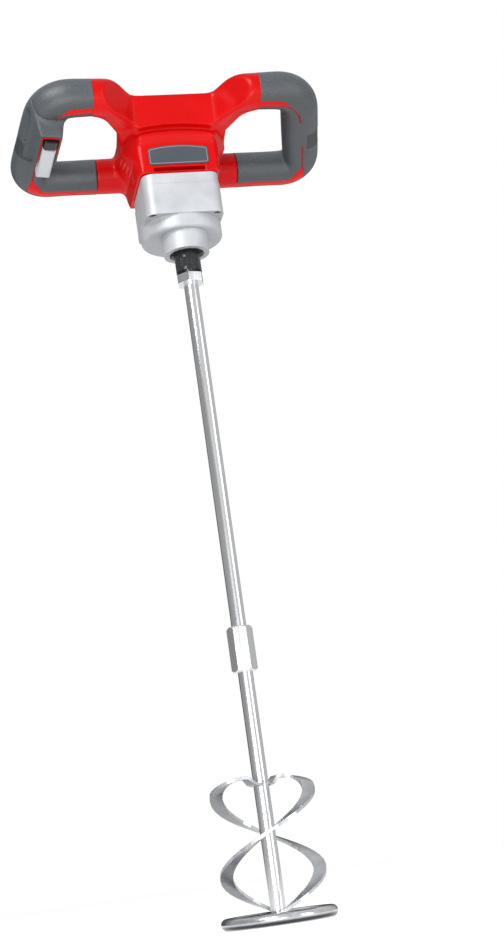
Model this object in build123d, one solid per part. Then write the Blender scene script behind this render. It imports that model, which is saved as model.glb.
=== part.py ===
from build123d import *
import os
from math import atan, cos, exp, pi, radians, sin, sqrt, tan

# Twin-handle cordless paint mixer with a screw-in double-helix stirrer. Millimetres.
# The origin is on the spindle axis, inside the gearbox's round neck collar, 13 mm above its mouth.
# +Z points up to the battery foot, -Z down the stirrer, -Y to the front (name plate side).

# ---------------------------------------------------------------- driving dimensions
NECK_R, NECK_HALF = 25.5, 13.0
FLANGE_R, FLANGE_Y, FLANGE_BOTTOM, FLANGE_TOP = 46.0, 15.5, 8.5, 30.0
BLOCK_HALF_W, BLOCK_FRONT, BLOCK_BACK = 44.0, -31.0, 57.0
BLOCK_BOTTOM, BLOCK_TOP, COVER_TOP = 25.0, 61.0, 73.0
BLOCK_CORNER = 12.0

SPINDLE_R, SPINDLE_END = 14.25, -35.0
THREAD_R, THREAD_DEPTH = 7.0, 30.0  # M14
JOURNAL_R = 8.5

TOTAL_DROP = 706.0  # from the spindle's end to the underside of the ring
RING_R, RING_TUBE_R = 54.0, 6.0
ROD_R = 8.0
COUPLING_TOP, COUPLING_BOTTOM, COUPLING_AF = -436.0, -484.0, 24.0
BLADE_WIDTH, BLADE_THICK, BLADE_R = 13.0, 3.0, 48.0
BLADE_TOP_Z, BLADE_PITCH, BLADE_TURN, ARM_TURN = -606.0, 160.0, 290.0, 62.0

# The handle loops lie in one tilted plane, high at the front and low at the back.
LOOP_TILT = atan(40.0 / 119.0)
LOOP_Z0 = 135.2
GRIP_R, CORE_R, BORE_R = 20.0, 17.5, 14.5
FRONT_V, REAR_V = -61.0, 63.5
FRONT_CORNER_U, REAR_CORNER_U = 142.0, 164.0
FRONT_BEND, REAR_BEND, NECK_BEND = 29.0, 21.5, 22.0
GRIP_FRONT_U, GRIP_REAR_U = 94.0, 82.0
PARTING_N = -16.5  # the shells part below the loops' middle, at the groove under the front ridge

BODY_HALF_W, BODY_FRONT_HALF_W, BODY_TOP_HALF_W, BODY_FOOT_HALF_W = 61.0, 41.0, 42.0, 46.5
BODY_BOTTOM, BODY_TOP = 73.0, 165.0
BODY_FRONT, BODY_LIP, BODY_BACK = -30.0, -42.0, 78.0
WALL = 3.0

# Two-stage spur gear train: motor pinion > intermediate wheel, intermediate pinion > spindle wheel.
PRESSURE = radians(25.0)
SHIFT = 0.4  # profile shift of the pinions, and minus this on the wheels
ADDENDUM, DEDENDUM = 0.8, 1.25
OUT_MODULE, OUT_TEETH = 1.25, 39
IN_MODULE, IN_TEETH = 0.9, 42
PINION_TEETH = 9
LAYSHAFT_Y = OUT_MODULE * (OUT_TEETH + PINION_TEETH) / 2
MOTOR_Y = LAYSHAFT_Y - IN_MODULE * (IN_TEETH + PINION_TEETH) / 2
OUT_GEAR_Z, OUT_GEAR_FACE = 34.5, 11.5
IN_GEAR_Z, IN_GEAR_FACE = 49.5, 8.5
RUNNING = 0.05  # radial running clearance

os.makedirs("parts", exist_ok=True)


# ---------------------------------------------------------------- helpers
LOOP_PLANE = Plane(
    origin=(0, 0, LOOP_Z0), x_dir=(1, 0, 0), z_dir=(0, sin(LOOP_TILT), cos(LOOP_TILT))
)
PARTING = LOOP_PLANE.offset(PARTING_N)


def cylinder(x, y, z_low, z_high, radius):
    return Pos(x, y, z_low) * Cylinder(
        radius, z_high - z_low, align=(Align.CENTER, Align.CENTER, Align.MIN)
    )


def ring(x, y, z_low, z_high, outer, inner):
    return cylinder(x, y, z_low, z_high, outer) - cylinder(x, y, z_low, z_high, inner)


def block(low, high):
    size = [b - a for a, b in zip(low, high)]
    return Pos(*low) * Box(*size, align=(Align.MIN, Align.MIN, Align.MIN))


def prism(points, plane, depth, radius=0.0, both=False):
    face = plane * make_face(Polyline(*points, close=True))
    if radius:
        face = fillet(face.vertices(), radius)
    return extrude(face, depth, dir=plane.z_dir, both=both)


def hexagon(z_low, z_high, across_flats, turn=0.0):
    face = Pos(0, 0, z_low) * Rot(0, 0, turn) * RegularPolygon(across_flats / sqrt(3), 6)
    return extrude(face, z_high - z_low, dir=(0, 0, 1))


def mirrored(shape):
    return shape.mirror(Plane.YZ)


def one(shape):
    """The shape as one solid, or a compound of its separate solids."""
    solids = shape.solids()
    return solids[0] if len(solids) == 1 else Compound(children=list(solids))


def half_space(plane, side):
    return plane * (Pos(0, 0, side * 500) * Box(1000, 1000, 1000))


def above(shape, plane):
    return shape & half_space(plane, 1)


def below(shape, plane):
    return shape & half_space(plane, -1)


NODES = {}


def node(name, shape):
    NODES[name] = one(shape)


# ---------------------------------------------------------------- handle loops
def loop_point(u, v, n=0.0):
    return LOOP_PLANE.from_local_coords((u, v, n))


def sweep_loop(points, bends, outer, inner=0.0):
    """A round tube along straight runs in the loop plane, with tangent bends."""
    corners = [loop_point(u, v) for u, v in points]
    path = FilletPolyline(*corners, radius=bends) if bends else Line(*corners)
    start = Plane(origin=path @ 0, z_dir=path % 0)
    tube = sweep(start * Circle(outer), path=path)
    if inner:
        tube -= sweep(start * Circle(inner), path=path)
    return tube


ROOT_FRONT = (26.0, -38.0)
SHOULDER = (64.0, FRONT_V)
FRONT_CORNER = (FRONT_CORNER_U, FRONT_V)
REAR_CORNER = (REAR_CORNER_U, REAR_V)
ROOT_REAR = (34.0, REAR_V)
WHOLE_LOOP = [ROOT_FRONT, SHOULDER, FRONT_CORNER, REAR_CORNER, ROOT_REAR]
WHOLE_BENDS = [NECK_BEND, FRONT_BEND, REAR_BEND]
GRIP_LOOP = [(GRIP_FRONT_U, FRONT_V), FRONT_CORNER, REAR_CORNER, (GRIP_REAR_U, REAR_V)]


def handle_core():
    return sweep_loop(WHOLE_LOOP, WHOLE_BENDS, CORE_R)


def handle_bore():
    return sweep_loop(WHOLE_LOOP, WHOLE_BENDS, BORE_R)


def handle_stubs():
    front = sweep_loop([ROOT_FRONT, SHOULDER, (GRIP_FRONT_U, FRONT_V)], [NECK_BEND], GRIP_R)
    rear = sweep_loop([ROOT_REAR, (GRIP_REAR_U, REAR_V)], [], GRIP_R)
    return front + rear


def grip_tube(outer, inner=0.0):
    return sweep_loop(GRIP_LOOP, [FRONT_BEND, REAR_BEND], outer, inner)


# ---------------------------------------------------------------- trigger position
# In the left bar's own directions: u along X, v down the slope to the back, n out of the plane.
TRIGGER_U = -147.0
SHROUD_U, SHROUD_V, SHROUD_N = (-168.0, -132.0), (-50.0, 6.0), (-38.0, -8.0)
SLOT_HALF_W = 9.0
TRIGGER_HALF_W = 7.8
TRIGGER_V, TRIGGER_N = (-26.0, 17.0), (-44.0, -31.0)
PIVOT_V, PIVOT_N, PIVOT_R = -20.0, -30.0, 2.0
BUTTON_V, BUTTON_N = (-37.5, -27.0), (-43.0, -25.0)
BUTTON_TRAVEL = 3.0
BAR_LEAN = 9.0  # degrees seen from above, about a degree less than the bar's own lean


def in_bar(shape):
    """Places a shape drawn round (0, v, n) in the left bar's leaning directions."""
    return LOOP_PLANE * (Pos(TRIGGER_U, 0, 0) * (Rot(0, 0, BAR_LEAN) * shape))


def bar_box(u, v, n, radius=0.0):
    shape = block((u[0], v[0], n[0]), (u[1], v[1], n[1]))
    if radius:
        shape = fillet(shape.edges(), radius)
    return shape


# ---------------------------------------------------------------- housings
def housing_body(inset=0.0):
    """The body as the common part of its side, plan and front outlines."""
    side = [
        (BODY_FRONT + inset, BODY_BOTTOM + inset),
        (BODY_FRONT + inset, 108),
        (-35 + inset, 131),
        (BODY_LIP + inset, BODY_TOP - inset),
        (62, BODY_TOP - inset),
        (BODY_BACK - inset, 146 - inset),
        (BODY_BACK - inset, 92 + inset),
        (64, BODY_BOTTOM + inset),
    ]
    front_w, full_w = BODY_FRONT_HALF_W - inset, BODY_HALF_W - inset
    plan = [
        (-front_w, -60),
        (front_w, -60),
        (front_w, -28 + inset),
        (full_w, -4 + inset),
        (full_w, 58),
        (46, BODY_BACK - inset),
        (-46, BODY_BACK - inset),
        (-full_w, 58),
        (-full_w, -4 + inset),
        (-front_w, -28 + inset),
    ]
    top_w, foot_w = BODY_TOP_HALF_W - inset, BODY_FOOT_HALF_W - inset
    front = [
        (-foot_w, BODY_BOTTOM + inset),
        (foot_w, BODY_BOTTOM + inset),
        (foot_w + 2, 90),
        (full_w, 112),
        (full_w, 132),
        (top_w, BODY_TOP - inset),
        (-top_w, BODY_TOP - inset),
        (-full_w, 132),
        (-full_w, 112),
        (-foot_w - 2, 90),
    ]
    side_r, plan_r, front_r = (3.0, 3.0, 3.0) if inset else (5.0, 8.0, 6.0)
    shape = prism(side, Plane.YZ, 70, radius=side_r, both=True)
    shape &= prism(plan, Plane.XY, BODY_TOP + 5, radius=plan_r)
    return shape & prism(front, Plane.XZ, 90, radius=front_r, both=True)


def shoulder(thickness):
    """The web that carries the body's side smoothly into the front tube."""
    grow = (thickness - SHOULDER_THICK) / 2
    outline = [
        (30, -50),
        (90 + grow, -60),
        (90 + grow, -44 + grow),
        (76 + grow, -33 + grow),
        (60 + grow, -12 + grow),
        (54 + grow, 12),
        (30, 12),
    ]
    plane = LOOP_PLANE.offset(-thickness / 2)
    return prism(outline, plane, thickness, radius=3.0)


SHOULDER_THICK = 26.0
HOUSING_SCREWS = [(44.0, 42.0), (46.0, -14.0), (-44.0, 42.0), (-46.0, -14.0)]
BAR_SCREWS = [(153.0, 4.0), (-159.0, 42.0)]
SCREW_HEAD_R, SCREW_SHANK_R, BOSS_R = 4.0, 2.0, 5.5
SCREW_HEAD_DEPTH = 3.0


def screw_at(u, v, head_n, tip_n):
    shank = Pos(u, v, tip_n) * Cylinder(
        SCREW_SHANK_R, head_n - tip_n, align=(Align.CENTER, Align.CENTER, Align.MIN)
    )
    head = Pos(u, v, head_n) * Cylinder(
        SCREW_HEAD_R, SCREW_HEAD_DEPTH, align=(Align.CENTER, Align.CENTER, Align.MIN)
    )
    socket = Pos(u, v, head_n + SCREW_HEAD_DEPTH - 1.6) * extrude(
        RegularPolygon(2.0, 6), 2.0
    )
    return LOOP_PLANE * (shank + head - socket)


def loop_cylinder(u, v, n_low, n_high, radius):
    shape = Pos(u, v, n_low) * Cylinder(
        radius, n_high - n_low, align=(Align.CENTER, Align.CENTER, Align.MIN)
    )
    return LOOP_PLANE * shape


# Bare strips on the underside of a grip: a wedge under the front tube that runs into a fine line
# on the bar, and a second line that opens into the strip under the rear tube.
FRONT_STRIP = [
    (93, -64),
    (119, -64),
    (126, -61),
    (134, -52.5),
    (140.5, -41.5),
    (146.2, -28),
    (143.9, -27.2),
    (138, -40.5),
    (131.6, -50.8),
    (124, -56),
    (119, -54.5),
    (93, -54.5),
]
REAR_STRIP = [
    (81, 64),
    (146, 64),
    (153, 58),
    (157.6, 49),
    (154.4, 24),
    (151.6, 8),
    (154, 7.6),
    (156.8, 24),
    (160, 48),
    (166, 52),
    (178, 60),
    (184, 75),
    (172, 90),
    (150, 74),
    (81, 73),
]


def bare_strips():
    plane = LOOP_PLANE.offset(-24.0)
    return prism(FRONT_STRIP, plane, 12.0) + prism(REAR_STRIP, plane, 12.0)


SCREW_HEAD_N, SCREW_TIP_N = 4.0, -24.0
BAR_HEAD_N, BAR_TIP_N = 3.0, -17.0
BOSS_N = (-62.0, 50.0)


def housing_shells():
    right_outside = handle_stubs() + handle_core() + shoulder(SHOULDER_THICK)
    right_inside = handle_bore() + shoulder(SHOULDER_THICK - 2 * WALL)
    outer = housing_body() + right_outside + mirrored(right_outside)
    cavity = housing_body(WALL) + right_inside + mirrored(right_inside)
    cavity += cylinder(0, MOTOR_Y, BODY_BOTTOM - 1, BODY_BOTTOM + WALL + 1, 29.0)
    shell = outer - cavity
    for u, v in HOUSING_SCREWS:
        shell += loop_cylinder(u, v, *BOSS_N, BOSS_R) & housing_body()
    cores = handle_core() + mirrored(handle_core())
    for u, v in BAR_SCREWS:
        shell += loop_cylinder(u, v, *BOSS_N, BOSS_R) & cores
    # air slot above the gearbox, and intake grooves in both sides
    shell -= block((-29, -40, 76.5), (29, -20, 81.0))
    for i in range(6):
        groove = Pos(BODY_HALF_W - 6, 16 + 5.0 * i, 102) * Rot(18, 0, 0) * Box(16, 1.8, 13)
        shell -= groove
        shell -= mirrored(groove)
    for u, v in HOUSING_SCREWS:
        shell -= loop_cylinder(u, v, SCREW_HEAD_N, 80.0, SCREW_HEAD_R + 0.4)
        shell -= loop_cylinder(u, v, SCREW_TIP_N, SCREW_HEAD_N, SCREW_SHANK_R)
    for u, v in BAR_SCREWS:
        shell -= loop_cylinder(u, v, BAR_HEAD_N, 30.0, SCREW_HEAD_R + 0.4)
        shell -= loop_cylinder(u, v, BAR_TIP_N, BAR_HEAD_N, SCREW_SHANK_R)
    upper = above(shell, PARTING)
    lower = below(shell, PARTING)
    # the lower shell shows in the strips that the rubber leaves open
    strip = grip_tube(GRIP_R, CORE_R) & bare_strips()
    lower += strip + mirrored(strip)
    return upper, lower


def name_plate():
    sides = Polyline((-34, 103), (-34, 83.5), (34, 83.5), (34, 103))
    arch = ThreePointArc((34, 103), (0, 106.5), (-34, 103))
    face = make_face(Curve() + [sides, arch])
    face = fillet(face.vertices(), 3.0)
    return extrude(Plane.XZ.offset(-BODY_FRONT) * face, 1.2)


# ---------------------------------------------------------------- grips and trigger
def grip(side_screw):
    u, v = side_screw
    shape = grip_tube(GRIP_R, CORE_R) - bare_strips()
    return shape - loop_cylinder(u, v, BAR_HEAD_N, 30.0, SCREW_HEAD_R + 0.4)


BAND_V = (-9.0, 13.0)


def grip_band():
    """A thin smooth patch let into the outside of the bar."""
    cut = LOOP_PLANE * block((148, BAND_V[0], -16.5), (190, BAND_V[1], 12))
    return grip_tube(GRIP_R, GRIP_R - 1.2) & cut


def shroud_blank():
    return in_bar(
        bar_box(
            (SHROUD_U[0] - TRIGGER_U, SHROUD_U[1] - TRIGGER_U), SHROUD_V, SHROUD_N, radius=5.0
        )
    )


def trigger_shroud():
    slot = bar_box((-SLOT_HALF_W, SLOT_HALF_W), (BUTTON_V[0] - 1.5, 30), (-60, -21))
    pin_hole = Pos(0, PIVOT_V, PIVOT_N) * Rot(0, 90, 0) * Cylinder(PIVOT_R, 60)
    shape = shroud_blank() - in_bar(slot) - in_bar(pin_hole)
    return shape - mirrored(grip_tube(GRIP_R))


def trigger():
    half = TRIGGER_HALF_W
    lever = bar_box((-half, half), TRIGGER_V, TRIGGER_N)
    long_edges = lever.edges().filter_by(Axis.Y).sort_by(Axis.Z)[:2]
    end_edges = lever.edges().filter_by(Axis.X).sort_by(Axis.Y)[-2:]
    lever = fillet(long_edges + end_edges, 5.0)
    ear = bar_box((-half, half), (PIVOT_V - 4.5, PIVOT_V + 4.5), (-33, PIVOT_N + 4.5))
    hole = Pos(0, PIVOT_V, PIVOT_N) * Rot(0, 90, 0) * Cylinder(PIVOT_R + RUNNING, 60)
    return in_bar(lever + ear - hole)


def trigger_pin():
    return in_bar(Pos(0, PIVOT_V, PIVOT_N) * Rot(0, 90, 0) * Cylinder(PIVOT_R, 2 * SLOT_HALF_W + 8))


def lock_off_button():
    button = bar_box((-7.4, 7.4), BUTTON_V, BUTTON_N)
    low_edges = button.edges().filter_by(Axis.Y).sort_by(Axis.Z)[:2]
    return in_bar(fillet(low_edges, 3.0))


def trigger_spring():
    """A compression spring between the lever and the underside of the bar."""
    seat = LOOP_PLANE.from_local_coords((TRIGGER_U, 6.0, 0))
    low, high = SPRING_Z
    coil = Helix(pitch=(high - low - 1.0) / SPRING_TURNS, height=high - low - 1.0, radius=2.6)
    start = Plane(origin=coil @ 0, z_dir=coil % 0)
    wire = sweep(start * Circle(0.4), path=coil, is_frenet=True)
    return Pos(seat.X, seat.Y, low + 0.5) * wire


SPRING_Z, SPRING_TURNS = (101.8, 111.0), 6


# ---------------------------------------------------------------- gears
def involute(angle):
    return tan(angle) - angle


def gear(module, teeth, shift, face, backlash, phase):
    """A spur gear standing on z = 0, with one tooth centred on the angle phase (degrees)."""
    pitch_r = module * teeth / 2
    base_r = pitch_r * cos(PRESSURE)
    tip_r = pitch_r + module * (ADDENDUM + shift)
    root_r = pitch_r - module * (DEDENDUM - shift)
    half_tooth = (pi / 2 + 2 * shift * tan(PRESSURE)) / teeth - backlash / (2 * pitch_r)
    start_r = max(base_r, root_r)
    steps = 4
    flank = []
    if root_r < base_r:
        flank.append((root_r, half_tooth + involute(PRESSURE)))
    for i in range(steps + 1):
        radius = start_r + (tip_r - start_r) * i / steps
        ratio = min(1.0, base_r / radius)
        lean = involute(acos_safe(ratio))
        flank.append((radius, half_tooth + involute(PRESSURE) - lean))
    points = []
    for k in range(teeth):
        middle = radians(phase) + 2 * pi * k / teeth
        for radius, half in flank:
            points.append((radius * cos(middle - half), radius * sin(middle - half)))
        for radius, half in reversed(flank):
            points.append((radius * cos(middle + half), radius * sin(middle + half)))
    return extrude(make_face(Polyline(*points, close=True)), face)


def acos_safe(ratio):
    return atan(sqrt(max(0.0, 1 - ratio * ratio)) / ratio)


OUT_TOP = OUT_GEAR_Z + OUT_GEAR_FACE
LAY_PHASE = -90 + 180.0 / PINION_TEETH


def spindle_gear():
    wheel = gear(OUT_MODULE, OUT_TEETH, -SHIFT, OUT_GEAR_FACE, 0.12, 90.0)
    wheel = Pos(0, 0, OUT_GEAR_Z) * wheel - cylinder(0, 0, OUT_GEAR_Z - 1, OUT_TOP + 1, GEAR_SEAT_R)
    for angle in range(0, 360, 60):
        x, y = 15.5 * cos(radians(angle)), 15.5 * sin(radians(angle))
        wheel -= cylinder(x, y, OUT_GEAR_Z - 1, OUT_TOP + 1, 3.6)
    key = block((-1.5, -GEAR_SEAT_R - 1.5, OUT_GEAR_Z - 1), (1.5, -GEAR_SEAT_R + 2.0, OUT_TOP + 1))
    return wheel - key


GEAR_SEAT_R = 7.5
CIRCLIP_Z = (OUT_TOP, OUT_TOP + 1.0)


def gear_key():
    return block((-1.5, -GEAR_SEAT_R - 1.5, OUT_GEAR_Z), (1.5, -GEAR_SEAT_R + 2.0, OUT_TOP))


def spindle():
    shape = cylinder(0, 0, SPINDLE_END, -2.5, SPINDLE_R)
    shape += cylinder(0, 0, -2.5, 30.0, JOURNAL_R)
    shape += cylinder(0, 0, 30.0, 34.5, 10.5)
    shape += cylinder(0, 0, 34.5, 48.3, GEAR_SEAT_R)
    shape -= cylinder(0, 0, SPINDLE_END - 1, SPINDLE_END + THREAD_DEPTH, THREAD_R)
    mouth = Pos(0, 0, SPINDLE_END + 0.75) * Cone(8.6, THREAD_R, 1.5)
    shape -= mouth
    for side in (-1, 1):
        flat = block((12.0, -20, SPINDLE_END + 4.0), (20.0, 20, SPINDLE_END + 15.0))
        turned = Rot(0, 0, 90 + 90 * side - 12) * flat
        shape -= Rot(0, 0, -90) * turned
    shape -= ring(0, 0, CIRCLIP_Z[0], CIRCLIP_Z[1], 10.0, 6.6)
    return shape - gear_key()


def spindle_circlip():
    clip = ring(0, 0, CIRCLIP_Z[0], CIRCLIP_Z[1], 8.8, 6.6)
    return clip - block((-2, 4, CIRCLIP_Z[0] - 1), (2, 12, CIRCLIP_Z[1] + 1))


def intermediate_shaft():
    y = LAYSHAFT_Y
    pinion = gear(OUT_MODULE, PINION_TEETH, SHIFT, OUT_GEAR_FACE + 2.0, 0.12, LAY_PHASE)
    shape = Pos(0, y, OUT_GEAR_Z - 0.8) * pinion
    shape += cylinder(0, y, 28.0, OUT_GEAR_Z, 3.0)
    shape += cylinder(0, y, OUT_GEAR_Z + 12.0, IN_GEAR_Z, 4.5)
    shape += cylinder(0, y, IN_GEAR_Z, IN_GEAR_Z + IN_GEAR_FACE, 4.0)
    return shape + cylinder(0, y, IN_GEAR_Z + IN_GEAR_FACE, 65.5, 3.0)


def intermediate_gear():
    y, top = LAYSHAFT_Y, IN_GEAR_Z + IN_GEAR_FACE
    wheel = gear(IN_MODULE, IN_TEETH, -SHIFT, IN_GEAR_FACE, 0.10, -90.0)
    wheel = Pos(0, y, IN_GEAR_Z) * wheel - cylinder(0, y, IN_GEAR_Z - 1, top + 1, 4.0)
    for side in (IN_GEAR_Z - 1, top - 2.0):
        wheel -= ring(0, y, side, side + 3.0, 15.0, 7.5)
    return wheel


def motor_pinion():
    y = MOTOR_Y
    wheel = gear(IN_MODULE, PINION_TEETH, SHIFT, IN_GEAR_FACE + 1.0, 0.10, 90 + 180.0 / PINION_TEETH)
    return Pos(0, y, IN_GEAR_Z - 0.5) * wheel - cylinder(0, y, 40, 70, MOTOR_SHAFT_R)


# ---------------------------------------------------------------- gearbox castings
GEARBOX_SCREWS = [(-36.5, -23.5), (36.5, -23.5), (-36.5, 49.5), (36.5, 49.5)]
GEARBOX_SCREW_R, GEARBOX_HEAD_R = 2.5, 4.3
SEAL_R = 19.5
BEARING_R = 17.5
LAY_BEARING_R, LAY_BEARING_H = 6.5, 5.0


def block_outline(z_low, z_high, inset=0.0, corner=BLOCK_CORNER):
    w = BLOCK_HALF_W - inset
    points = [
        (-w, BLOCK_FRONT + inset),
        (w, BLOCK_FRONT + inset),
        (w, BLOCK_BACK - inset),
        (-w, BLOCK_BACK - inset),
    ]
    return prism(points, Plane.XY.offset(z_low), z_high - z_low, radius=corner)


def gearbox_housing():
    shape = block_outline(BLOCK_BOTTOM, BLOCK_TOP)
    flange = cylinder(0, FLANGE_Y, FLANGE_BOTTOM, FLANGE_TOP, FLANGE_R)
    shape += fillet(flange.edges().sort_by(Axis.Z)[0], 4.0)
    shape += cylinder(0, 0, -NECK_HALF, NECK_HALF + 2, NECK_R)
    chamber = block_outline(33.0, BLOCK_TOP + 1, inset=3.0, corner=7.0)
    for x, y in GEARBOX_SCREWS:
        chamber -= cylinder(x, y, 30, BLOCK_TOP + 2, 7.0)
    shape -= chamber
    shape -= cylinder(0, 0, -NECK_HALF - 1, -2.0, SEAL_R)
    shape -= cylinder(0, 0, -2.0, 8.0, BEARING_R)
    shape -= cylinder(0, 0, 8.0, 18.0, BEARING_R - 3.0)
    shape -= cylinder(0, 0, 18.0, 28.0, BEARING_R)
    shape -= cylinder(0, 0, 28.0, 34.0, BEARING_R - 3.0)
    shape -= cylinder(0, LAYSHAFT_Y, 28.0 - 0.5, 34.0, LAY_BEARING_R)
    for x, y in GEARBOX_SCREWS:
        shape -= cylinder(x, y, BLOCK_BOTTOM - 1, BLOCK_BOTTOM + 6.0, GEARBOX_HEAD_R + 0.3)
        shape -= cylinder(x, y, BLOCK_BOTTOM, BLOCK_TOP + 1, GEARBOX_SCREW_R)
    return shape


def gearbox_cover():
    shape = block_outline(BLOCK_TOP, COVER_TOP, inset=0.5)
    shape -= cylinder(0, LAYSHAFT_Y, BLOCK_TOP - 1, 66.0, LAY_BEARING_R)
    shape -= cylinder(0, MOTOR_Y, BLOCK_TOP - 1, COVER_TOP + 1, 6.5)
    shape -= cylinder(0, MOTOR_Y, 66.0, COVER_TOP + 1, MOTOR_BEARING_R)
    for x, y in GEARBOX_SCREWS:
        shape -= cylinder(x, y, BLOCK_TOP - 1, COVER_TOP + 1, GEARBOX_SCREW_R)
    return shape


def gearbox_screws():
    screws = []
    for x, y in GEARBOX_SCREWS:
        screw = cylinder(x, y, BLOCK_BOTTOM + 2.0, BLOCK_BOTTOM + 6.0, GEARBOX_HEAD_R)
        screw += cylinder(x, y, BLOCK_BOTTOM + 6.0, COVER_TOP, GEARBOX_SCREW_R)
        socket = Pos(x, y, BLOCK_BOTTOM + 1.9) * extrude(RegularPolygon(2.3, 6), 2.5)
        screws.append(screw - socket)
    return Compound(children=[one(s) for s in screws])


# ---------------------------------------------------------------- motor and electronics
MOTOR_SHAFT_R, MOTOR_BEARING_R = 2.5, 9.5
FAN_Z = (78.5, 85.0)
CAN_Z, CAN_R = (88.0, 138.0), 27.0
CORE_Z, CORE_IRON_R = (96.0, 128.0), 16.5


def motor_can():
    y = MOTOR_Y
    shape = ring(0, y, CAN_Z[0], CAN_Z[1], CAN_R, CAN_R - 2.0)
    shape += ring(0, y, CAN_Z[0], CAN_Z[0] + 2.0, CAN_R - 1, 8.0)
    for angle in range(0, 360, 60):
        x, dy = 16.5 * cos(radians(angle)), 16.5 * sin(radians(angle))
        shape -= cylinder(x, y + dy, CAN_Z[0] - 1, CAN_Z[0] + 3, 5.0)
    return shape


def motor_magnets():
    arcs = ring(0, MOTOR_Y, 95.0, 130.0, CAN_R - 2.0, CORE_IRON_R + 0.8)
    split = block((-4.0, MOTOR_Y - 40, 90), (4.0, MOTOR_Y + 40, 135))
    return arcs - split


def armature_core():
    y = MOTOR_Y
    shape = cylinder(0, y, CORE_Z[0], CORE_Z[1], CORE_IRON_R)
    for k in range(12):
        a = radians(30 * k)
        slot = Pos(CORE_IRON_R * cos(a), y + CORE_IRON_R * sin(a), 112) * Rot(0, 0, 30 * k)
        shape -= slot * Box(7.0, 2.4, 40)
    return shape - cylinder(0, y, 90, 135, 3.0)


def windings():
    """The copper winding heads at both ends of the armature."""
    y = MOTOR_Y
    heads = [ring(0, y, 91.0, CORE_Z[0], 14.0, 3.0), ring(0, y, CORE_Z[1], 132.5, 14.0, 3.0)]
    return Compound(children=[one(h) for h in heads])


def commutator():
    y = MOTOR_Y
    shape = ring(0, y, 133.0, 143.0, 8.0, 3.0)
    for k in range(12):
        a = radians(30 * k)
        cut = Pos(8.0 * cos(a), y + 8.0 * sin(a), 138) * Rot(0, 0, 30 * k) * Box(2.0, 0.5, 12)
        shape -= cut
    return shape


def brush_holder():
    y = MOTOR_Y
    shape = ring(0, y, CAN_Z[1], CAN_Z[1] + 7.0, CAN_R, 9.5)
    shape += ring(0, y, CAN_Z[1] + 7.0, CAN_Z[1] + 10.0, 15.0, 3.6)
    shape -= cylinder(0, y, CAN_Z[1] + 6.0, CAN_Z[1] + 11.0, 6.5)
    shape -= block((-30, y - 3.0, CAN_Z[1] + 1.0), (30, y + 3.0, CAN_Z[1] + 5.0))
    return shape


def carbon_brushes():
    y = MOTOR_Y
    low, high = CAN_Z[1] + 1.0, CAN_Z[1] + 5.0
    right = block((8.1, y - 3.0, low), (18.0, y + 3.0, high))
    return Compound(children=[one(right), one(mirrored(right))])


def cooling_fan():
    y = MOTOR_Y
    shape = ring(0, y, FAN_Z[0], FAN_Z[0] + 1.5, 25.0, 3.0)
    shape += ring(0, y, FAN_Z[0], FAN_Z[1], 6.0, 3.0)
    for k in range(11):
        blade = Rot(0, 0, k * 360 / 11) * (Pos(15.5, 0, 0) * Rot(0, 0, 18) * Box(17.0, 1.2, 5.0))
        shape += Pos(0, y, FAN_Z[0] + 4.0) * blade
    return shape


def controller_board():
    board = block((-38, -26, 156.0), (38, 44, 157.6))
    return board - block((-6, 30, 155), (6, 50, 159))


def heat_sink():
    base = block((-26, -22, 157.6), (26, 0, 158.6))
    for i in range(7):
        base += block((-25.5 + 8.0 * i, -22, 158.6), (-24.0 + 8.0 * i, 0, 161.6))
    return base


# ---------------------------------------------------------------- battery foot
FOOT_HALF_W, FOOT_Y = 36.0, (-12.0, 58.0)
RAIL_BOTTOM, RAIL_TOP = BODY_TOP + 7.0, BODY_TOP + 10.0


def battery_foot():
    shape = block((-30, FOOT_Y[0] + 4, BODY_TOP), (30, FOOT_Y[1] - 4, BODY_TOP + 4.0))
    shape += block((-24, FOOT_Y[0] + 4, BODY_TOP), (24, FOOT_Y[1] - 4, RAIL_BOTTOM))
    shape += block((-FOOT_HALF_W, FOOT_Y[0], RAIL_BOTTOM), (FOOT_HALF_W, FOOT_Y[1], RAIL_TOP))
    pocket = block((-16, FOOT_Y[0] + 10, BODY_TOP + 2), (16, FOOT_Y[1] - 12, RAIL_TOP + 1))
    return shape - pocket


def terminal_block():
    return block((-14, 2, BODY_TOP + 2.0), (14, 40, BODY_TOP + 4.0))


def terminals():
    blades = []
    for x in (-9.0, 0.0, 9.0):
        blades.append(block((x - 0.4, 6, BODY_TOP + 4.0), (x + 0.4, 28, BODY_TOP + 9.0)))
    return Compound(children=[one(b) for b in blades])


def battery_latch():
    """A small spring catch at the foot's front edge."""
    return block((-7, FOOT_Y[0] - 3.0, BODY_TOP), (7, FOOT_Y[0] + 3.5, RAIL_BOTTOM - 0.5))


# ---------------------------------------------------------------- stirrer
RING_Z = SPINDLE_END - TOTAL_DROP + RING_TUBE_R
COLLAR_Z = (-48.0, -38.0)


def upper_rod():
    shape = cylinder(0, 0, SPINDLE_END, -10.0, THREAD_R)
    shape += cylinder(0, 0, COLLAR_Z[1], SPINDLE_END, THREAD_R)
    shape += hexagon(COLLAR_Z[0], COLLAR_Z[1], 27.0, turn=15)
    return shape + cylinder(0, 0, (COUPLING_TOP + COUPLING_BOTTOM) / 2, COLLAR_Z[0], ROD_R)


def lower_rod():
    return cylinder(0, 0, RING_Z - 3.0, (COUPLING_TOP + COUPLING_BOTTOM) / 2, ROD_R)


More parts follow.
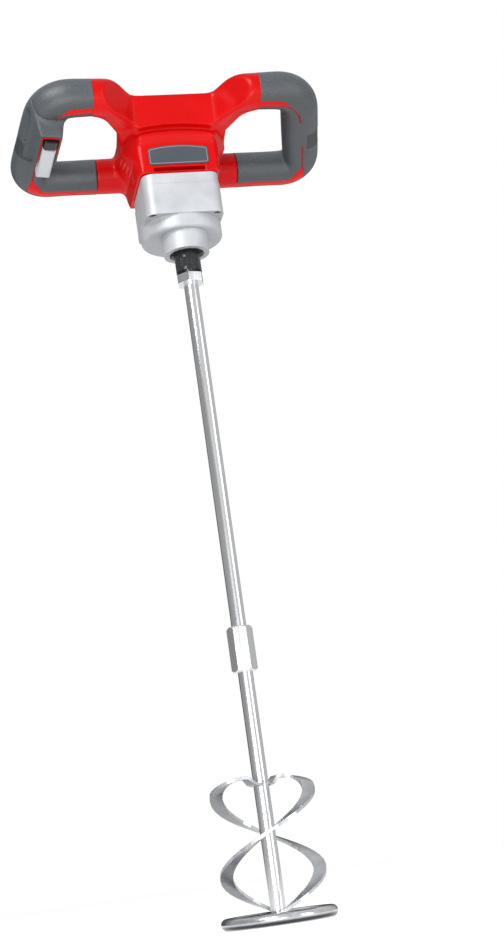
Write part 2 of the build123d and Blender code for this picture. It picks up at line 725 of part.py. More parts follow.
def coupling_nut():
    shape = hexagon(COUPLING_BOTTOM, COUPLING_TOP, COUPLING_AF, turn=-11)
    bevel = Pos(0, 0, COUPLING_TOP - 1.5) * Cone(13.86 + 0.4, 11.6, 3.0)
    waist = cylinder(0, 0, COUPLING_BOTTOM + 3, COUPLING_TOP - 3, 14.5)
    bevel_low = Pos(0, 0, COUPLING_BOTTOM + 1.5) * Cone(11.6, 13.86 + 0.4, 3.0)
    shape &= bevel + waist + bevel_low
    return shape - cylinder(0, 0, COUPLING_BOTTOM - 1, COUPLING_TOP + 1, ROD_R)


def blade_point(s, turn):
    """A point of the strip's middle line: s from 0 to 1 is the arm, and beyond 1 the helix."""
    angle = radians(turn) + radians(ARM_TURN) * (1 - s)
    rate = BLADE_PITCH / 360.0 * ARM_TURN
    if s < 1:
        radius = ROD_R - 1.0 + (BLADE_R - ROD_R + 1.0) * sin(s * pi / 2)
        z = BLADE_TOP_Z + rate * (1 - s) - 20.0 * (1 - s) ** 3 - 8.0 * exp(-(((s - 0.15) / 0.1) ** 2))
    else:
        radius, z = BLADE_R, BLADE_TOP_Z - rate * (s - 1)
    return Vector(radius * cos(angle), radius * sin(angle), z)


def blade(turn):
    last = 1 + BLADE_TURN / ARM_TURN
    stations = [i * 0.1 for i in range(10)]
    helix_steps = 26
    stations += [1 + (last - 1) * i / helix_steps for i in range(helix_steps + 1)]
    sections = []
    for s in stations:
        ahead, behind = blade_point(s + 0.01, turn), blade_point(s - 0.01, turn)
        tangent = (ahead - behind).normalized()
        across = Vector(-tangent.Y, tangent.X, 0).normalized()
        plane = Plane(origin=blade_point(s, turn), x_dir=across, z_dir=tangent)
        sections.append(plane * Rectangle(BLADE_WIDTH, BLADE_THICK))
    strip = loft(sections, ruled=True)
    return strip - cylinder(0, 0, -740, -560, ROD_R) - base_ring()


def base_ring():
    return Pos(0, 0, RING_Z) * Torus(RING_R, RING_TUBE_R)


def base_cross():
    bar = block((-52, -5.5, RING_Z - 2), (52, 5.5, RING_Z + 2))
    shape = Rot(0, 0, 20) * (bar + Rot(0, 0, 90) * bar)
    return shape - base_ring() - cylinder(0, 0, -760, -700, ROD_R)


# ---------------------------------------------------------------- assembly
def bearing(x, y, z_low, z_high, outer, inner):
    """A shielded ball bearing as one ring, with its shields sunk 0.4 mm on both sides."""
    middle = (outer + inner) / 2
    half = (outer - inner) / 4
    shape = ring(x, y, z_low, z_high, outer, inner)
    shape -= ring(x, y, z_low - 0.1, z_low + 0.4, middle + half, middle - half)
    return shape - ring(x, y, z_high - 0.4, z_high + 0.1, middle + half, middle - half)


upper_shell, lower_shell = housing_shells()
node("upper_housing", upper_shell)
node("lower_housing", lower_shell)
node("name_plate", name_plate())
right_band = grip_band()
left_band = mirrored(right_band)
node("right_grip", grip(BAR_SCREWS[0]) - right_band)
node("left_grip", mirrored(grip((-BAR_SCREWS[1][0], BAR_SCREWS[1][1]))) - left_band)
node("right_grip_band", above(right_band, PARTING))
node("left_grip_band", above(left_band, PARTING))
node("trigger_shroud", trigger_shroud())
node("trigger", trigger())
node("trigger_pin", trigger_pin())
node("trigger_spring", trigger_spring())
node("lock_off_button", lock_off_button())
node("trigger_switch", in_bar(bar_box((-15.0, 3.0), (-16.0, 26.0), (-8.0, 8.0), radius=1.0)))
node(
    "housing_screws",
    Compound(
        children=[one(screw_at(u, v, SCREW_HEAD_N, SCREW_TIP_N)) for u, v in HOUSING_SCREWS]
        + [one(screw_at(u, v, BAR_HEAD_N, BAR_TIP_N)) for u, v in BAR_SCREWS]
    ),
)

node("battery_foot", battery_foot())
node("battery_latch", battery_latch())
node("terminal_block", terminal_block())
node("battery_terminals", terminals())
node("controller_board", controller_board())
node("heat_sink", heat_sink())

node("gearbox_housing", gearbox_housing())
node("gearbox_cover", gearbox_cover())
node("gearbox_screws", gearbox_screws())
node("spindle_seal", ring(0, 0, -8.0, -2.0, SEAL_R, SPINDLE_R + RUNNING))
node("spindle_bearing_lower", bearing(0, 0, -2.0, 8.0, BEARING_R, JOURNAL_R + RUNNING))
node("spindle_bearing_upper", bearing(0, 0, 18.0, 28.0, BEARING_R, JOURNAL_R + RUNNING))
node("intermediate_bearing_lower", bearing(0, LAYSHAFT_Y, 28.0, 33.0, LAY_BEARING_R, 3.0 + RUNNING))
node("intermediate_bearing_upper", bearing(0, LAYSHAFT_Y, 61.0, 66.0, LAY_BEARING_R, 3.0 + RUNNING))

node("motor_can", motor_can())
node("motor_magnets", motor_magnets())
node("brush_holder", brush_holder())
node("carbon_brushes", carbon_brushes())
node("motor_bearing_front", bearing(0, MOTOR_Y, 66.0, 72.0, MOTOR_BEARING_R, 3.0 + RUNNING))
node("motor_bearing_rear", bearing(0, MOTOR_Y, 144.0, 148.0, 6.5, 3.0 + RUNNING))

motor_shaft = cylinder(0, MOTOR_Y, 63.0, 149.0, 3.0)
motor_shaft += cylinder(0, MOTOR_Y, IN_GEAR_Z - 0.5, 63.0, MOTOR_SHAFT_R)
node("motor_shaft", motor_shaft)
node("motor_pinion", motor_pinion())
node("armature_core", armature_core())
node("armature_windings", windings())
node("commutator", commutator())
node("cooling_fan", cooling_fan())

node("intermediate_shaft", intermediate_shaft())
node("intermediate_gear", intermediate_gear())

node("spindle", spindle())
node("spindle_gear", spindle_gear())
node("gear_key", gear_key())
node("spindle_circlip", spindle_circlip())
node("stirrer_upper_rod", upper_rod())
node("coupling_nut", coupling_nut())
node("stirrer_lower_rod", lower_rod())
node("stirrer_blade_right", blade(0.0))
node("stirrer_blade_left", blade(180.0))
node("base_ring", base_ring())
node("base_cross", base_cross())

for name, shape in NODES.items():
    export_step(shape, f"parts/{name}.step")
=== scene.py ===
import math

import bmesh
import bpy
import numpy as np
import openvdb
from mathutils import Matrix, Vector


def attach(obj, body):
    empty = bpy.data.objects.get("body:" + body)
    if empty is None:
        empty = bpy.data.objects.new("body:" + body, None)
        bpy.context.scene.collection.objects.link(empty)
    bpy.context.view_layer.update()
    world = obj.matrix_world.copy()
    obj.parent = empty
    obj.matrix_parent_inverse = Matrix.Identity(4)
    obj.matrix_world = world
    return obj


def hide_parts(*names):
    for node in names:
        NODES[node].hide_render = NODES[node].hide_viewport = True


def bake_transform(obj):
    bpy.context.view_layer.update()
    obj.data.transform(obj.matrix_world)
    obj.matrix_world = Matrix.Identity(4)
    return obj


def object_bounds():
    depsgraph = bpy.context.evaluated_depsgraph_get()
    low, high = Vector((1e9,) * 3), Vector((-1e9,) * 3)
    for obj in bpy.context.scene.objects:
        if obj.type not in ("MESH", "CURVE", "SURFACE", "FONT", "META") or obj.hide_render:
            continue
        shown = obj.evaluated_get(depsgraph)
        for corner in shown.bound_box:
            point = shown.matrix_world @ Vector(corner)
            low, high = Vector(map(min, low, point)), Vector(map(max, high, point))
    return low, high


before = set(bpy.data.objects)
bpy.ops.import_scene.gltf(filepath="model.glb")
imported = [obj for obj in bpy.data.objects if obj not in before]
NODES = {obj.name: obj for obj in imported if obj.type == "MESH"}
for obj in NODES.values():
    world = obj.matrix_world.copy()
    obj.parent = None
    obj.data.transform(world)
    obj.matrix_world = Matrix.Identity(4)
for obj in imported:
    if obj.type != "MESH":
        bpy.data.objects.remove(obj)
CAD_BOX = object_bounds()


# ---------------------------------------------------------------- materials
# colour of the painted shade that shaded_below mixes into faces turning down
PAINTED_SHADE_COLOR = (0.012, 0.014, 0.018, 1.0)


class Shader:
    """A Principled material with helpers for procedural detail in object coordinates, and for painted shade on faces
    that turn down.
    """

    def __init__(self, name, color, roughness, metallic=0.0, **sockets):
        self.name = name
        self.mat = bpy.data.materials.new(name + "_finish")
        self.mat.use_nodes = True
        self.tree = self.mat.node_tree
        self.bsdf = self.tree.nodes["Principled BSDF"]
        self.set("Base Color", (*color, 1.0))
        self.set("Roughness", roughness)
        self.set("Metallic", metallic)
        for socket, value in sockets.items():
            self.set(socket.replace("_", " "), value)
        self.coords = self.tree.nodes.new("ShaderNodeTexCoord").outputs["Object"]
        self.last_bump = None

    def set(self, socket, value):
        self.bsdf.inputs[socket].default_value = value

    def node(self, kind, inputs=(), **values):
        made = self.tree.nodes.new("ShaderNode" + kind)
        for key, value in values.items():
            setattr(made, key, value)
        for key, value in dict(inputs).items():
            if isinstance(value, bpy.types.NodeSocket):
                self.tree.links.new(value, made.inputs[key])
            else:
                made.inputs[key].default_value = value
        return made

    def noise(self, scale, detail=3.0, stretch=(1, 1, 1), rough=0.55):
        at = self.node("Mapping", {"Vector": self.coords, "Scale": stretch}).outputs[0]
        inputs = {"Vector": at, "Scale": scale, "Detail": detail, "Roughness": rough}
        return self.node("TexNoise", inputs).outputs["Fac"]

    def spread(self, value, low, high, start=0.35, end=0.65):
        """value, mapped from start..end to low..high."""
        inputs = {"Value": value, "From Min": start, "From Max": end, "To Min": low, "To Max": high}
        return self.node("MapRange", inputs).outputs[0]

    def tint(self, value, low, high, start=0.35, end=0.65):
        """Base colour between two colours."""
        at = self.spread(value, 0.0, 1.0, start, end)
        mix = self.node("Mix", data_type="RGBA")
        self.tree.links.new(at, mix.inputs[0])
        mix.inputs[6].default_value = (*low, 1.0)
        mix.inputs[7].default_value = (*high, 1.0)
        self.tree.links.new(mix.outputs[2], self.bsdf.inputs["Base Color"])

    def rough(self, value, low, high, start=0.35, end=0.65):
        self.tree.links.new(self.spread(value, low, high, start, end), self.bsdf.inputs["Roughness"])

    def bump(self, value, distance, strength=1.0):
        inputs = {"Height": value, "Distance": distance, "Strength": strength}
        if self.last_bump:
            inputs["Normal"] = self.last_bump
        self.last_bump = self.node("Bump", inputs).outputs["Normal"]
        self.tree.links.new(self.last_bump, self.bsdf.inputs["Normal"])

    def shaded_below(self, amount, start, full, back=None):
        """Painted shade: base colour darkened where the surface turns down; back is where the darkening fades out
        again.
        """
        base = self.bsdf.inputs["Base Color"]
        toward = self.node("NewGeometry").outputs["Normal"]
        down = self.node("SeparateXYZ", {0: toward}).outputs["Z"]
        shade = self.spread(down, 0.0, amount, start, full)
        if back is not None:
            shade = self.node("Math", {0: shade, 1: self.spread(down, 0.25, 1.0, back - 0.2, back)},
                              operation="MULTIPLY").outputs[0]
        mix = self.node("Mix", data_type="RGBA")
        self.tree.links.new(shade, mix.inputs[0])
        self.tree.links.new(base.links[0].from_socket, mix.inputs[6])
        mix.inputs[7].default_value = PAINTED_SHADE_COLOR
        self.tree.links.new(mix.outputs[2], base)

    def soft_edges(self, radius):
        """Small edge radii on machined and pressed parts."""
        self.last_bump = self.node("Bevel", {"Radius": radius}, samples=4).outputs["Normal"]
        self.tree.links.new(self.last_bump, self.bsdf.inputs["Normal"])


def moulded_plastic(name, low, high, roughness, grain=0.00002, edge=0.0006, **sockets):
    """Plastic or rubber, its colour between low and high, with a fine grain; edge is the edges' radius in metres."""
    m = Shader(name, high, roughness, **sockets)
    if edge:
        m.soft_edges(edge)
    m.tint(m.noise(9.0, 4.0), low, high)
    m.rough(m.noise(60.0, 4.0), roughness - 0.05, roughness + 0.07)
    m.bump(m.noise(2600.0, 2.0), grain, 0.6)
    m.bump(m.noise(35.0, 2.0), 0.0002, 0.12)
    return m


def metal(name, low, high, roughness, stretch, scale, depth, edge=0.0004, **sockets):
    """Metal with a grain of the given scale and depth, drawn out by stretch."""
    m = Shader(name, high, roughness, 1.0, **sockets)
    m.soft_edges(edge)
    grain = m.noise(scale, 5.0, stretch)
    m.tint(grain, low, high)
    m.rough(m.noise(scale * 0.6, 4.0, stretch), roughness - 0.06, roughness + 0.09)
    m.bump(grain, depth, 0.5)
    return m


red = moulded_plastic("housing_red", (0.46, 0.0006, 0.0008), (0.54, 0.0012, 0.0015), 0.36, edge=0.0)
red.set("Specular IOR Level", 0.13)
red.set("Coat Weight", 0.07)
red.set("Coat Roughness", 0.12)
grip = moulded_plastic("grip_rubber", (0.036, 0.046, 0.054), (0.048, 0.060, 0.069), 0.41)
grip.tint(grip.noise(750.0, 2.0), (0.030, 0.039, 0.046), (0.075, 0.090, 0.102), 0.3, 0.7)
grip.bump(grip.noise(1100.0, 2.0), 0.0004, 0.7)
# painted shade: the grip's base colour darkened on faces that turn down
grip.shaded_below(0.62, 0.3, -0.75)
grip.set("Specular IOR Level", 0.7)
band = moulded_plastic("band_rubber", (0.014, 0.018, 0.021), (0.021, 0.026, 0.030), 0.5)
plate = moulded_plastic("plate_slate", (0.040, 0.050, 0.062), (0.050, 0.062, 0.075), 0.36)
trigger_grey = moulded_plastic("trigger_grey", (0.34, 0.36, 0.38), (0.41, 0.43, 0.45), 0.38)
gloss = moulded_plastic("black_gloss", (0.008, 0.009, 0.010), (0.013, 0.014, 0.016), 0.12, 0.000004)
black = moulded_plastic("black_plastic", (0.014, 0.015, 0.016), (0.022, 0.023, 0.025), 0.42)
green = moulded_plastic("board_green", (0.010, 0.085, 0.035), (0.016, 0.12, 0.05), 0.3)
seal = moulded_plastic("seal_rubber", (0.010, 0.010, 0.011), (0.016, 0.016, 0.017), 0.6)
carbon = moulded_plastic("carbon", (0.03, 0.03, 0.032), (0.06, 0.06, 0.062), 0.55)

alloy = Shader("alloy", (0.48, 0.50, 0.53), 0.5, 0.35)
alloy.soft_edges(0.0008)
alloy.tint(alloy.noise(30.0, 5.0), (0.42, 0.435, 0.46), (0.51, 0.525, 0.55))
# painted shade: the gearbox alloy's base colour darkened on faces that turn down
alloy.shaded_below(0.35, 0.05, -0.8)
alloy.rough(alloy.noise(400.0, 4.0), 0.45, 0.58)
alloy.bump(alloy.noise(1500.0, 3.0), 0.00008, 0.7)
alloy.bump(alloy.noise(60.0, 3.0), 0.0004, 0.12)

DRAWN = (1.0, 1.0, 0.02)
zinc = metal("zinc", (0.60, 0.61, 0.625), (0.68, 0.69, 0.705), 0.16, DRAWN, 300.0, 0.000004)
blade = metal("zinc_blade", (0.50, 0.52, 0.545), (0.60, 0.615, 0.64), 0.27, (1, 1, 1), 60.0, 0.00001)
# painted shade: the blades' base colour darkened on faces that turn down
blade.shaded_below(0.62, 0.0, -0.75)
# the ring has its own finish for its painted shade: faces turning down darkened strongly, less so again at the very
# bottom
ring = metal("ring_zinc", (0.56, 0.57, 0.59), (0.68, 0.69, 0.71), 0.18, (1, 1, 1), 120.0, 0.00001)
ring.shaded_below(0.93, -0.02, -0.42, -0.80)
ground = metal("bearing_steel", (0.48, 0.49, 0.50), (0.58, 0.59, 0.60), 0.2, (0.05, 0.05, 1), 900.0, 0.00001)
gear = metal("gear_steel", (0.36, 0.37, 0.38), (0.46, 0.47, 0.48), 0.28, (1, 1, 1), 500.0, 0.00002)
copper = metal("copper", (0.62, 0.28, 0.14), (0.75, 0.36, 0.19), 0.25, (0.1, 0.1, 1), 900.0, 0.0001)
spindle_black = Shader("black_steel", (0.022, 0.024, 0.026), 0.12, 0.3)
spindle_black.soft_edges(0.0005)
spindle_black.tint(spindle_black.noise(300.0, 4.0, DRAWN), (0.012, 0.013, 0.014), (0.03, 0.032, 0.034))
spindle_black.rough(spindle_black.noise(200.0, 4.0, DRAWN), 0.08, 0.2)
spindle_black.bump(spindle_black.noise(300.0, 3.0, DRAWN), 0.00001, 0.3)

# the gearbox screws: black, and darkened further to near-black as painted shade of their recesses
screw_black_recess_shade = moulded_plastic("screw_black_recess_shade", (0.004, 0.004, 0.005), (0.008, 0.008, 0.009), 0.55)

FINISHES = {m.name: m.mat for m in (
    red, grip, band, plate, trigger_grey, gloss, black, green, seal, carbon,
    alloy, zinc, blade, ground, gear, copper, spindle_black)}
for node in NODES.values():
    for place in node.material_slots:
        place.material = FINISHES[place.material.name.split(".")[0]]
for name, finish in (("base_ring", ring), ("gearbox_screws", screw_black_recess_shade)):
    for place in NODES[name].material_slots:
        place.material = finish.mat


# ---------------------------------------------------------------- handle loops and body
# Millimetres here; pieces are scaled to metres when they are made. The loops lie in a tilted plane:
# u runs along X, v down its slope to the back, n out of it on the upper side.
MM = 0.001
TILT = math.atan(40.0 / 119.0)
LOOP_Z = 135.2
COS_T, SIN_T = math.cos(TILT), math.sin(TILT)
LOOP_CORNERS = [(27.0, -10.0), (67.0, -61.0), (142.0, -61.0), (164.0, 63.5), (34.0, 63.5)]
LOOP_BENDS = [34.0, 31.0, 21.0]
FRONT_SEAM_U, REAR_SEAM_U = 94.0, 82.0
PARTING_N = -16.5
# tube radius at places along the loop
LOOP_RADII = [((27, -10), 12.0), ((45, -34), 16.0), ((66, -56), 20.0), ((94, -61), 20.0), ((132, -55), 21.3),
              ((152, 0), 21.3), ((158, 52), 20.6), ((120, 63.5), 19.6), ((34, 63.5), 20.5)]
RUBBER = 2.2


def to_row(points):
    """Points in loop directions, as points in the part's own frame, in millimetres."""
    p = np.asarray(points, float)
    u, v, n = p[:, 0], p[:, 1], p[:, 2]
    return np.stack([u, v * COS_T + n * SIN_T, LOOP_Z - v * SIN_T + n * COS_T], 1)


def loop_path(step=1.0):
    """The loop's middle line on the right side, with its bends, evenly spaced and lightly smoothed."""
    corners = [np.array(c) for c in LOOP_CORNERS]
    line = [corners[0]]
    for before, corner, after, bend in zip(corners, corners[1:], corners[2:], LOOP_BENDS):
        a = (before - corner) / np.linalg.norm(before - corner)
        b = (after - corner) / np.linalg.norm(after - corner)
        half = math.acos(float(a @ b)) / 2
        reach = bend / math.tan(half)
        centre = corner + (a + b) / np.linalg.norm(a + b) * bend / math.sin(half)
        start, end = corner + a * reach - centre, corner + b * reach - centre
        turn = math.atan2(start[0] * end[1] - start[1] * end[0], start @ end)
        for k in range(13):
            t = turn * k / 12
            line.append(centre + np.array([start[0] * math.cos(t) - start[1] * math.sin(t),
                                           start[0] * math.sin(t) + start[1] * math.cos(t)]))
    line.append(corners[-1])
    line = np.array(line)
    run = np.concatenate([[0], np.cumsum(np.linalg.norm(np.diff(line, axis=0), axis=1))])
    at = np.linspace(0, run[-1], int(run[-1] / step) + 1)
    even = np.stack([np.interp(at, run, line[:, 0]), np.interp(at, run, line[:, 1])], 1)
    window = np.hanning(23)
    window /= window.sum()
    padded = np.concatenate([2 * even[0] - even[11:0:-1], even, 2 * even[-1] - even[-2:-13:-1]])
    smooth = np.stack([np.convolve(padded[:, i], window, "valid") for i in (0, 1)], 1)
    keys = sorted((float(at[np.argmin(np.linalg.norm(smooth - np.array(c), axis=1))]), r) for c, r in LOOP_RADII)
    radius = np.interp(at, [k for k, _ in keys], [r for _, r in keys])
    wide = np.hanning(41)
    radius = np.convolve(np.pad(radius, 20, mode="edge"), wide / wide.sum(), "valid")
    return smooth, radius


PATH, PATH_R = loop_path()


def mesh_piece(name, verts, faces, material, smooth=True):
    mesh = bpy.data.meshes.new(name)
    mesh.from_pydata([tuple(v) for v in verts], [], [tuple(f) for f in faces])
    mesh.validate()
    mesh.materials.append(material)
    for polygon in mesh.polygons:
        polygon.use_smooth = smooth
    made = bpy.data.objects.new(name, mesh)
    bpy.context.scene.collection.objects.link(made)
    return made


def tube_shell(first, last, outer, inner, sides=96):
    """Closed skin round the loop between two path places, as vertices (u, v, n) and faces."""
    line, radius = PATH[first:last], PATH_R[first:last]
    along = np.gradient(line, axis=0)
    along /= np.linalg.norm(along, axis=1)[:, None]
    across = np.stack([-along[:, 1], along[:, 0]], 1)
    turns = np.linspace(0, 2 * math.pi, sides, endpoint=False)
    rings = []
    for grow in (outer, inner):
        r = radius + grow
        flat = line[:, None, :] + across[:, None, :] * (np.cos(turns)[None, :] * r[:, None])[..., None]
        up = np.sin(turns)[None, :] * r[:, None]
        rings.append(np.concatenate([flat, up[..., None]], 2).reshape(-1, 3))
    count = len(line)
    faces = []
    for layer, flip in ((0, False), (1, True)):
        base = layer * count * sides
        for i in range(count - 1):
            for k in range(sides):
                a, b = base + i * sides + k, base + i * sides + (k + 1) % sides
                quad = (a, b, b + sides, a + sides)
                faces.append(quad[::-1] if flip else quad)
    for i, flip in ((0, False), (count - 1, True)):
        for k in range(sides):
            a, b = i * sides + k, i * sides + (k + 1) % sides
            c, d = b + count * sides, a + count * sides
            quad = (a, d, c, b)
            faces.append(quad[::-1] if flip else quad)
    return np.concatenate(rings), faces


def smooth_min(a, b, k):
    h = np.clip(0.5 + 0.5 * (b - a) / k, 0, 1)
    return b + (a - b) * h - k * h * (1 - h)


def smooth_max(a, b, k):
    return -smooth_min(-a, -b, k)


def polygon_field(x, y, points):
    """Signed distance to a closed outline, negative inside."""
    pts = np.array(points, float)
    best = np.full(np.broadcast(x, y).shape, 1e9, np.float32)
    inside = np.zeros(best.shape, bool)
    for (ax, ay), (bx, by) in zip(pts, np.roll(pts, -1, axis=0)):
        ex, ey = bx - ax, by - ay
        t = np.clip(((x - ax) * ex + (y - ay) * ey) / (ex * ex + ey * ey), 0, 1)
        best = np.minimum(best, (x - ax - t * ex) ** 2 + (y - ay - t * ey) ** 2)
        if ey != 0:
            crosses = ((ay > y) != (by > y)) & (x < ex * (y - ay) / ey + ax)
            inside ^= crosses
    best = np.sqrt(best)
    return np.where(inside, -best, best)


VOXEL = 0.8
U_AXIS = (np.arange(0, 188, VOXEL) + VOXEL / 2).astype(np.float32)
V_AXIS = np.arange(-90, 100, VOXEL).astype(np.float32)
N_AXIS = np.arange(-74, 56, VOXEL).astype(np.float32)

SIDE_OUTLINE = [(-30, 73), (-30, 109), (-31.2, 113), (-33.6, 116.5), (-34.6, 119.5), (-33.8, 122.5),
                (-30.6, 125.0), (-29.4, 127.0), (-31.0, 128.8), (-36.6, 130.2), (-42, 165),
                (62, 165), (78, 146), (78, 92), (64, 73)]
PLAN_OUTLINE = [(-44, -60), (44, -60), (44, -30), (61, -6), (61, 58), (46, 78), (-46, 78), (-61, 58),
                (-61, -6), (-44, -30)]
FRONT_OUTLINE = [(-46.5, 73), (46.5, 73), (48, 92), (61, 112), (61, 132), (45, 165), (-45, 165),
                 (-61, 132), (-61, 112), (-48, 92)]
WEB_OUTLINE = [(24, -44), (90, -58), (90, -46), (77, -34), (62, -12), (56, 14), (24, 14)]


CORNER_BLEND, TUBE_BLEND, WEB_BLEND, VALLEY_BLEND, SLOT_BLEND, VENT_BLEND = 5.0, 5.0, 9.0, 4.0, 1.2, 0.6
ARCH_RISE, ARCH_HALF_W = 3.5, 41.0
WEB_HALF_T, WEB_ROUND = 13.0, 6.0
PANEL_FOOT_Y, PANEL_FOOT_Z, PANEL_LEAN, PANEL_RISE = -36.5, 130.0, 5.5, 35.0
# a slanted cut that keeps the tube and the web off the front panel
VALLEY_BACK, VALLEY_SLOPE, VALLEY_U, VALLEY_SCALE = 4.0, 1.1, 45.0, 1.49
SLOT_Z, SLOT_HALF_H, SLOT_HALF_W, SLOT_Y, SLOT_HALF_D = 78.7, 2.2, 29.0, -30.0, 9.0
VENT_COUNT, VENT_LOW_Z, VENT_PITCH, VENT_HALF_H = 6, 83.0, 5.0, 1.0
VENT_Y, VENT_HALF_RUN, VENT_INNER_U, VENT_DEPTH = 12.0, 8.5, 40.0, 2.0


def housing_field():
    """Signed distance to the red housing on the right side, on the loop-aligned grid."""
    u = U_AXIS[:, None, None]
    v = V_AXIS[None, :, None]
    n = N_AXIS[None, None, :]
    y = v * COS_T + n * SIN_T
    z = LOOP_Z - v * SIN_T + n * COS_T
    arch = ARCH_RISE * (u / ARCH_HALF_W) ** 2 * np.clip((z - 100.0) / 20.0, 0, 1) * np.clip((165.0 - z) / 30.0, 0, 1)
    side = polygon_field(y, z + arch, SIDE_OUTLINE)
    plan = polygon_field(u, y, PLAN_OUTLINE)
    front = polygon_field(u, z, FRONT_OUTLINE)
    body = smooth_max(smooth_max(side, plan, CORNER_BLEND), front, CORNER_BLEND)
    flat_u, flat_v = U_AXIS[:, None], V_AXIS[None, :]
    nearest = np.full((len(U_AXIS), len(V_AXIS)), 1e9, np.float32)
    radius = np.zeros_like(nearest)
    front_end = np.argmin(np.abs(PATH[:, 0] - FRONT_SEAM_U) + 1e3 * (PATH[:, 1] > 0))
    rear_end = np.argmin(np.abs(PATH[:, 0] - REAR_SEAM_U) + 1e3 * (PATH[:, 1] < 0))
    for i, ((pu, pv), r) in enumerate(zip(PATH, PATH_R)):
        far = (flat_u - pu) ** 2 + (flat_v - pv) ** 2
        closer = far < nearest
        nearest = np.where(closer, far, nearest)
        core = r - RUBBER if front_end < i < rear_end else r
        radius = np.where(closer, core, radius)
    tube = np.sqrt(nearest[:, :, None] + n * n) - radius[:, :, None]
    web = rounded_plate(polygon_field(flat_u, flat_v, WEB_OUTLINE)[:, :, None], np.abs(n) - WEB_HALF_T, WEB_ROUND)
    panel_y = PANEL_FOOT_Y - (z - PANEL_FOOT_Z) * PANEL_LEAN / PANEL_RISE
    valley = (y - panel_y - VALLEY_BACK + VALLEY_SLOPE * (u - VALLEY_U)) / VALLEY_SCALE
    tube = smooth_max(tube, -valley, VALLEY_BLEND)
    web = smooth_max(web, -valley, VALLEY_BLEND)
    red = smooth_min(body, tube, TUBE_BLEND)
    red = smooth_min(red, web, WEB_BLEND)
    slot = np.maximum(np.abs(z - SLOT_Z) - SLOT_HALF_H, np.abs(u) - SLOT_HALF_W)
    slot = np.maximum(slot, np.abs(y - SLOT_Y) - SLOT_HALF_D)
    red = smooth_max(red, -slot, SLOT_BLEND)
    beside = np.maximum(np.abs(y - VENT_Y) - VENT_HALF_RUN, VENT_INNER_U - u)
    for i in range(VENT_COUNT):
        height = np.abs(z - VENT_LOW_Z - VENT_PITCH * i) - VENT_HALF_H
        vent = np.maximum(np.maximum(height, beside), -red - VENT_DEPTH)
        red = smooth_max(red, -vent, VENT_BLEND)
    return red.astype(np.float32)


def surface(half_field):
    """Vertices (u, v, n) and quads of the zero surface of a field and its mirror image."""
    both = np.concatenate([half_field[::-1], half_field], 0)
    grid = openvdb.FloatGrid(4.0 * VOXEL)
    grid.copyFromArray(np.ascontiguousarray(both))
    points, quads = grid.convertToQuads()
    points = points * VOXEL
    points[:, 0] += -U_AXIS[-1]
    points[:, 1] += V_AXIS[0]
    points[:, 2] += N_AXIS[0]
    return points, quads


def rounded_plate(flat, thick, radius):
    """Field of an outline given as a field in one plane, extruded, with all edges rounded."""
    a, b = flat + radius, thick + radius
    outside = np.sqrt(np.maximum(a, 0) ** 2 + np.maximum(b, 0) ** 2)
    return outside + np.minimum(np.maximum(a, b), 0) - radius


def cut_at(name, verts, faces, place, keep_above, material):
    """The part of a closed mesh above or below a plane of constant n, closed again at the cut."""
    made = mesh_piece(name, to_row(verts) * MM, faces, material)
    bm = bmesh.new()
    bm.from_mesh(made.data)
    co = to_row([(0, 0, place)])[0] * MM
    normal = Vector((0, SIN_T, COS_T))
    cut = bmesh.ops.bisect_plane(
        bm, geom=bm.verts[:] + bm.edges[:] + bm.faces[:], dist=1e-7, plane_co=co, plane_no=normal,
        clear_inner=keep_above, clear_outer=not keep_above)
    edges = [e for e in cut["geom_cut"] if isinstance(e, bmesh.types.BMEdge)]
    filled = bmesh.ops.triangle_fill(bm, use_beauty=True, use_dissolve=False, edges=edges)
    for face in (f for f in filled["geom"] if isinstance(f, bmesh.types.BMFace)):
        face.smooth = False
    for edge in edges:
        if edge.is_valid:
            edge.smooth = False
    bmesh.ops.recalc_face_normals(bm, faces=bm.faces[:])
    bm.to_mesh(made.data)
    bm.free()
    return made


def boolean(piece, cutter, operation):
    """Cut piece by cutter, or keep only what lies inside it; the cutter is used up."""
    change = piece.modifiers.new("cut", "BOOLEAN")
    change.operation, change.solver, change.object = operation, "EXACT", cutter
    mesh = bpy.data.meshes.new_from_object(piece.evaluated_get(bpy.context.evaluated_depsgraph_get()))
    piece.modifiers.clear()
    old = piece.data
    piece.data = mesh
    bpy.data.meshes.remove(old)
    bpy.data.objects.remove(cutter)


def prism_cutter(outline, low, high):
    count = len(outline)
    verts = [(u, v, low) for u, v in outline] + [(u, v, high) for u, v in outline]
    faces = [tuple(range(count))[::-1], tuple(range(count, 2 * count))]
    faces += [(i, (i + 1) % count, (i + 1) % count + count, i + count) for i in range(count)]
    return verts, faces


def beside_path(stations):
    """Points beside the loop's middle line: each station is (place on the line, distance inward)."""
    along = np.gradient(PATH, axis=0)
    along /= np.linalg.norm(along, axis=1)[:, None]
    inward = np.stack([-along[:, 1], along[:, 0]], 1)
    at = [int(np.argmin(np.linalg.norm(PATH - np.array(place), axis=1))) for place, _ in stations]
    steps = np.arange(at[0], at[-1] + 1, 2)
    off = np.interp(steps, at, [w for _, w in stations])
    return [tuple(PATH[i] + inward[i] * w) for i, w in zip(steps, off)]


